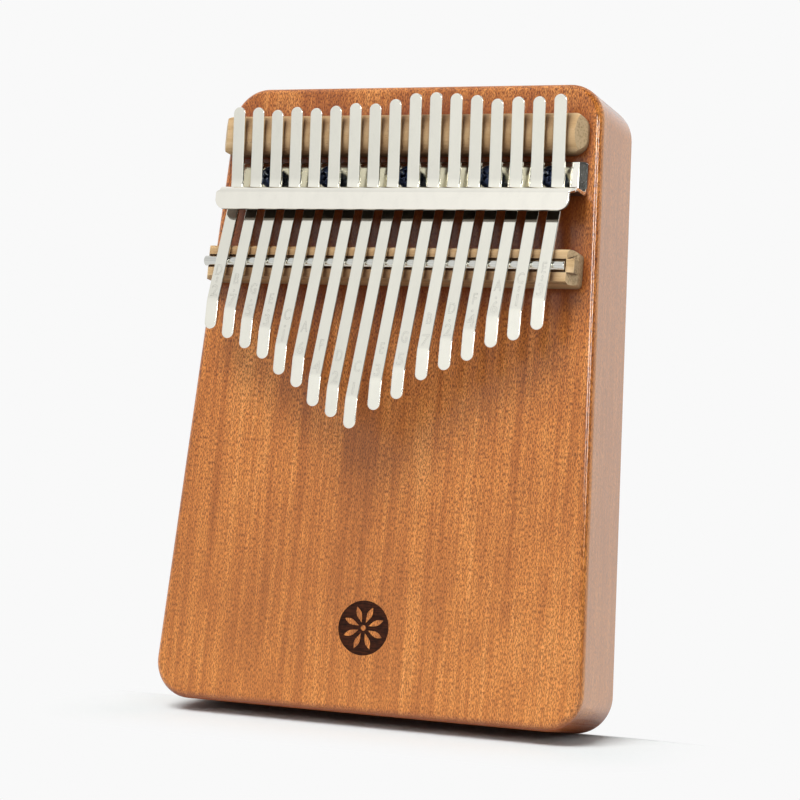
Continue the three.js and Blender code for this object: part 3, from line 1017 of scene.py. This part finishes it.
def screw_profile(radius, height, shank_length):
    """(radius, z) pairs from the shank's point up to the middle of a domed pan head."""
    shank = SHANK_RADIUS * radius
    skirt = SKIRT_HEIGHT * height
    crown = CROWN_RADIUS * radius
    profile = [(0, -shank_length), (0.2 * shank, -shank_length)]
    profile += [(shank, -shank_length + SCREW_POINT), (shank, 0)]
    profile += [(radius - SCREW_RIM, 0), (radius, SCREW_RIM), (radius, skirt)]
    for i in range(1, SCREW_DOME_STEPS + 1):
        t = math.pi / 2 * i / SCREW_DOME_STEPS
        out = crown + (radius - crown) * math.cos(t)
        profile.append((out, skirt + (height - skirt) * math.sin(t)))
    profile += [(0.5 * crown, height), (0, height)]
    return profile


def cross_cutter(head_radius, head_height):
    """Two crossed slots with leaning walls, open above the head."""
    floor = (head_height - CROSS_DEPTH * head_height, *CROSS_FLOOR)
    mouth = (head_height + CROSS_MOUTH_HEIGHT, *CROSS_MOUTH)
    bm = bmesh.new()
    for turn in (0, math.pi / 2):
        rings = []
        for z, length, width in (floor, mouth):
            corners = ((-length, -width), (length, -width), (length, width), (-length, width))
            spots = [Matrix.Rotation(turn, 2) @ Vector(corner) * head_radius for corner in corners]
            rings.append([bm.verts.new((spot.x, spot.y, z)) for spot in spots])
        bridge_loops(bm, rings)
        bm.faces.new(reversed(rings[0]))
        bm.faces.new(rings[1])
    return object_from_bmesh("cross", bm)


def crossed(screw, cutter):
    """The screw with its cross cut in. The cutter's two slots overlap each other."""
    modifier = screw.modifiers.new("cross", "BOOLEAN")
    modifier.operation = "DIFFERENCE"
    modifier.solver = "EXACT"
    modifier.use_self = True
    modifier.object = cutter
    result = applied(screw)
    bpy.data.objects.remove(cutter)
    return result


def make_screw(node, turn):
    low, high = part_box(node)
    middle = (low + high) / 2
    seat = FACE_Y - (FOOT_Y + SHEET / 2)
    radius = (high.x - low.x) / 2
    height = seat - low.y
    profile = screw_profile(radius, height, high.y - seat)
    screw = object_from_bmesh(node + "_turned", turned_mesh(profile, SCREW_SEGMENTS))
    cutter = cross_cutter(radius, height)
    cutter.data.transform(Matrix.Rotation(turn, 4, "Z"))
    for obj in (screw, cutter):
        obj.data.materials.append(SCREW_METAL)
    screw = crossed(screw, cutter)
    to_face = Matrix.Translation((middle.x, seat, middle.z)) @ Matrix.Rotation(math.pi / 2, 4, "X")
    screw.data.transform(to_face)
    smooth(screw, 40)
    stand_in(node)
    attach(screw, ROOT)


# ---- tines ----

def tine_bend(rear_z, tip_z):
    """The tine's centre line from the tip to the rear end, as (z up the board, height)."""
    rod_z = (ROD_LOW.z + ROD_HIGH.z) / 2
    half_thickness = TINE_THICKNESS / 2 * math.hypot(1, TINE_FRONT_SLOPE)
    over_rod = FACE_Y - ROD_LOW.y + TINE_OVER_ROD + half_thickness

    def front(z):
        return over_rod + (rod_z - z) * TINE_FRONT_SLOPE

    kink_z = tip_z + TINE_TIP_LENGTH
    rear_height = front(WEB_Z) + (rear_z - WEB_Z) * TINE_REAR_SLOPE
    return Bend(bent_line(
        [(tip_z, front(kink_z)), (kink_z, front(kink_z)), (WEB_Z, front(WEB_Z)), (rear_z, rear_height)],
        [TINE_KINK_HALF_SPAN, TINE_DIP_HALF_SPAN], TINE_BEND_STEPS))


def tine_strip(name, length):
    """The flat tine: a strip with round ends and softened edges, along +Y from its tip."""
    half = TINE_WIDTH / 2
    corner = half * TINE_END_ROUND
    samples = rounded_corners([
        (-half, 0, corner), (half, 0, corner), (half, length, corner), (-half, length, corner),
    ], TINE_END_STEPS)
    top = TINE_THICKNESS / 2
    edge = [(TINE_EDGE + TINE_FACE_MARGIN, 0.0)] + quarter_round(TINE_EDGE, TINE_EDGE_STEPS)
    levels = [(inset, top - drop) for inset, drop in edge]
    levels += [(inset, drop - top) for inset, drop in reversed(edge)]
    loops = [[(p.x, p.y, z) for p in outline_at(samples, inset)] for inset, z in levels]
    strip = object_from_bmesh(name, capped_loops(loops))
    strip.data.materials.append(TINE_METAL)
    return strip


def glyph_bmesh(character, size):
    curve = bpy.data.curves.new("mark", "FONT")
    curve.body = character
    curve.size = size
    curve.align_x = "CENTER"
    curve.resolution_u = 3
    obj = applied(new_object("mark", curve))
    bm = bmesh.new()
    bm.from_mesh(obj.data)
    bpy.data.objects.remove(obj)
    bmesh.ops.remove_doubles(bm, verts=bm.verts, dist=MARK_WELD)
    return bm


def walked_outline(follow, narrowing, along):
    """One closed outline, taken from follow (vertex to next vertex), without crowded points."""
    vert = next(iter(follow))
    outline = []
    while vert in follow:
        point = Vector((vert.co.x * narrowing, vert.co.y + along))
        if not outline or (point - outline[-1]).length > MARK_POINT_GAP:
            outline.append(point)
        vert = follow.pop(vert)
    if (outline[-1] - outline[0]).length < MARK_POINT_GAP:
        outline.pop()
    return outline


def glyph_outlines(character, size, narrowing, along):
    """The closed outlines of a character, centred across the tine."""
    bm = glyph_bmesh(character, size)
    follow = {}
    for face in bm.faces:
        for loop in face.loops:
            if loop.edge.is_boundary:
                follow[loop.vert] = loop.link_loop_next.vert
    outlines = []
    while follow:
        outlines.append(walked_outline(follow, narrowing, along))
    bm.free()
    return outlines


def widened(outline, amount):
    """The closed outline moved sideways by amount, with mitred corners."""
    moved = []
    for i, point in enumerate(outline):
        before = (point - outline[i - 1]).normalized()
        after = (outline[(i + 1) % len(outline)] - point).normalized()
        normal = Vector((before.y + after.y, -before.x - after.x))
        reach = amount / max(0.35, normal.length / 2)
        moved.append(tuple(point + normal.normalized() * reach))
    return moved


def mark_outlines(note):
    """The outlines of the number nearest the tip, its octave dots above it, and the letter."""
    number, dots, letter = note
    start = TINE_TIP_LENGTH + MARK_FROM_KINK
    outlines = glyph_outlines(number, MARK_SIZE, NUMBER_NARROWING, start)
    for k in range(dots):
        dot_start = start + MARK_SIZE * (FIRST_DOT + NEXT_DOT * k)
        outlines += glyph_outlines(".", MARK_SIZE, 1.0, dot_start)
    letter_start = start + MARK_SIZE * LETTER_START
    return outlines + glyph_outlines(letter, MARK_SIZE * LETTER_SIZE, LETTER_NARROWING, letter_start)


def mark_cutter(note):
    """Thin walls that follow the outlines of a tine's marks."""
    low = TINE_THICKNESS / 2 - MARK_DEPTH
    high = TINE_THICKNESS / 2 + MARK_DEPTH
    bm = bmesh.new()
    for outline in mark_outlines(note):
        outer = widened(outline, MARK_LINE)
        inner = widened(outline, -MARK_LINE)
        rings = []
        for points, z in ((outer, high), (inner, high), (inner, low), (outer, low)):
            rings.append([bm.verts.new((x, y, z)) for x, y in points])
        bridge_loops(bm, rings + [rings[0]])
    cutter = object_from_bmesh("marks", bm)
    cutter.data.materials.append(MARK)
    return cutter


def tine_roll(index):
    """A slight uneven twist, so that the tines don't all mirror the room alike."""
    swing = math.sin(index * 2.4) * 0.6 + math.sin(index * 5.1 + 1.0) * 0.4
    return math.radians(TINE_ROLL_DEGREES * swing)


def make_tine(node, note, roll):
    low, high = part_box(node)
    bend = tine_bend(high.z, low.z)
    tine = tine_strip(node + "_sprung", bend.total)
    tine = cut(tine, mark_cutter(note))
    add_rows(tine, bend.lengths[1:-1], ALONG)
    tine.data.transform(Matrix.Rotation(roll, 4, "Y"))
    place_on(tine, bend)
    tine.data.transform(Matrix.Translation(((low.x + high.x) / 2, 0, 0)))
    smooth(tine, 35)
    stand_in(node)
    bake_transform(tine)


# ---- floor ----

def distance_from_foot(n):
    """How far a place on the floor is from the board's foot."""
    beside = n.maths("SUBTRACT", n.maths("ABSOLUTE", n.axis(n.place, "X")), BOARD_HALF_BOTTOM)
    ahead = n.maths("SUBTRACT", n.maths("ABSOLUTE", n.axis(n.place, "Y")), BACK_Y)
    away = n.add("ShaderNodeCombineXYZ", {
        "X": n.maths("MAXIMUM", beside, 0.0), "Y": n.maths("MAXIMUM", ahead, 0.0)}).outputs[0]
    return n.add("ShaderNodeVectorMath", {0: away}, operation="LENGTH").outputs["Value"]


def floor_material():
    """Matt pale paper, lit so evenly away from the mbira that it has no shading of its own."""
    n = material_nodes("paper_floor")
    fibre = n.noise((900, 900, 900), detail=3.0, roughness=0.5)
    shade = n.level(fibre, 0.3, 0.7, FLOOR_SHADE - FLOOR_MOTTLE, FLOOR_SHADE + FLOOR_MOTTLE)
    # Slightly cool, to stay neutral under the light that bounces off the wood
    red = n.maths("MULTIPLY", shade, FLOOR_RED_SHARE)
    material = n.principled(
        Base_Color=n.add("ShaderNodeCombineColor", {0: red, 1: shade, 2: shade}).outputs[0],
        Roughness=0.9,
        Specular_IOR_Level=0.0,
        Normal=n.bump(fibre, distance=0.03 * MM, strength=0.2),
    )
    even = n.add("ShaderNodeMapRange", {
        "Value": distance_from_foot(n), "From Min": 0.0, "From Max": FLOOR_EVEN_REACH},
        interpolation_type="SMOOTHSTEP").outputs["Result"]
    ray = n.add("ShaderNodeLightPath")
    strength = n.level(ray.outputs["Is Diffuse Ray"], 0.0, 1.0, BACKDROP_LEVEL, FLOOR_FILL)
    paper = n.tree.nodes["Principled BSDF"]
    glow = n.add("ShaderNodeEmission", {"Strength": strength})
    mixed = n.add("ShaderNodeMixShader", {
        "Fac": even, 1: paper.outputs[0], 2: glow.outputs[0]}).outputs[0]
    n.feed(n.tree.nodes["Material Output"].inputs["Surface"], mixed)
    return material


def make_floor():
    """A paper sweep: level behind the mbira, falling gently towards the camera."""
    fold = BACK_Y - FLOOR_FOLD_INSET
    fall = math.radians(FLOOR_FALL_DEGREES)
    near = (fold - FLOOR_REACH * math.cos(fall), -FLOOR_REACH * math.sin(fall))
    bm = bmesh.new()
    rows = []
    for y, z in (near, (fold, 0), (FLOOR_REACH, 0)):
        rows.append([bm.verts.new((x, y, z)) for x in (-FLOOR_REACH, FLOOR_REACH)])
    for front, back in zip(rows, rows[1:]):
        bm.faces.new((front[0], front[1], back[1], back[0]))
    floor = object_from_bmesh("floor", bm)
    floor.data.materials.append(floor_material())


# ---- light ----

def softbox(n, toward):
    """A wide softbox in front of the mbira, dimmer above, below and towards its left edge."""
    stops = [((z + 1) / 2, (level, level, level)) for z, level in SOFTBOX_LEVELS]
    by_height = n.ramp(n.level(n.axis(toward, "Z"), -1.0, 1.0), stops)
    return n.maths("MULTIPLY", by_height, n.level(n.axis(toward, "X"), *SOFTBOX_EDGE, *SOFTBOX_SIDES))


def azimuth_degrees(n, toward):
    """The direction from straight ahead (-Y) round to the right (+X)."""
    ahead = n.maths("MULTIPLY", n.axis(toward, "Y"), -1.0)
    return n.maths("DEGREES", n.maths("ARCTAN2", n.axis(toward, "X"), ahead))


def with_dark_room(n, level, height, azimuth):
    """The level, darkened to the front right above the floor."""
    dark = n.maths("MULTIPLY", n.level(azimuth, *ROOM_NEAR), n.level(azimuth, *ROOM_FAR))
    dark = n.maths("MULTIPLY", dark, n.level(height, *ROOM_FOOT))
    return n.between(dark, level, ROOM_LEVEL)


def with_strips(n, level, height, azimuth):
    """The level, plus upright strip lights that draw bright lines along the rounded edges."""
    for middle, half_width, strength in STRIPS:
        off = n.maths("ABSOLUTE", n.maths("SUBTRACT", azimuth, middle))
        strip = n.level(off, half_width, STRIP_CORE * half_width, 0.0, strength)
        tall = n.maths("MULTIPLY", n.level(height, *STRIP_FOOT), n.level(height, *STRIP_TOP))
        level = n.maths("ADD", level, n.maths("MULTIPLY", strip, tall))
    return level


def make_world():
    """An even pale backdrop, with a darker room in front that polished parts and varnish mirror."""
    world = bpy.data.worlds.new("studio")
    bpy.context.scene.world = world
    n = Nodes(world, "Generated")
    toward = n.place
    height = n.axis(toward, "Z")
    azimuth = azimuth_degrees(n, toward)
    level = with_dark_room(n, softbox(n, toward), height, azimuth)
    level = with_strips(n, level, height, azimuth)
    behind = n.level(n.axis(toward, "Y"), *BACKDROP_START)
    level = n.between(behind, level, BACKDROP_LEVEL)
    # Light that reaches the wood, directly or off the metal, is a weaker even fill
    ray = n.add("ShaderNodeLightPath")
    on_wood = n.level(ray.outputs["Diffuse Depth"], 0.0, 1.0)
    level = n.between(on_wood, level, FILL_LEVEL)
    level = n.between(ray.outputs["Is Camera Ray"], level, BACKDROP_LEVEL)
    background = n.tree.nodes["Background"]
    n.feed(background.inputs["Strength"], level)
    n.feed(background.inputs["Color"], (1.0, 1.0, 1.0, 1.0))


def make_key_light():
    """One very soft overhead light from the front, as even as a large scrim."""
    light = bpy.data.lights.new("key", "SUN")
    light.energy = KEY_STRENGTH
    light.angle = math.radians(KEY_SPREAD_DEGREES)
    key = new_object("key", light)
    key.visible_glossy = False
    key.rotation_euler = Vector(KEY_DIRECTION).to_track_quat("-Z", "Y").to_euler()


def make_camera():
    """The viewing angle of the product shot: low, from the front right, slightly tilted."""
    data = bpy.data.cameras.new("camera")
    data.lens = CAMERA_LENS
    data.sensor_width = CAMERA_SENSOR
    camera = new_object("camera", data)
    right, up, forward = (Vector(v).normalized() for v in (CAMERA_RIGHT, CAMERA_UP, CAMERA_FORWARD))
    turn = Matrix((right, up, -forward)).transposed().to_4x4()
    camera.matrix_world = Matrix.Translation(CAMERA_PLACE) @ turn
    bpy.context.scene.camera = camera


# ---- the whole scene ----

make_board()
make_backstop()
make_bridge()
make_rod()
make_bracket()
for index, screw_node in enumerate(SCREWS):
    make_screw(screw_node, math.radians(SCREW_FIRST_TURN + SCREW_NEXT_TURN * index))
for index, tine_node in enumerate(TINES):
    make_tine(tine_node, NOTES[index], tine_roll(index))

make_floor()
make_world()
make_key_light()
bpy.context.scene.view_settings.view_transform = "Standard"
make_camera()
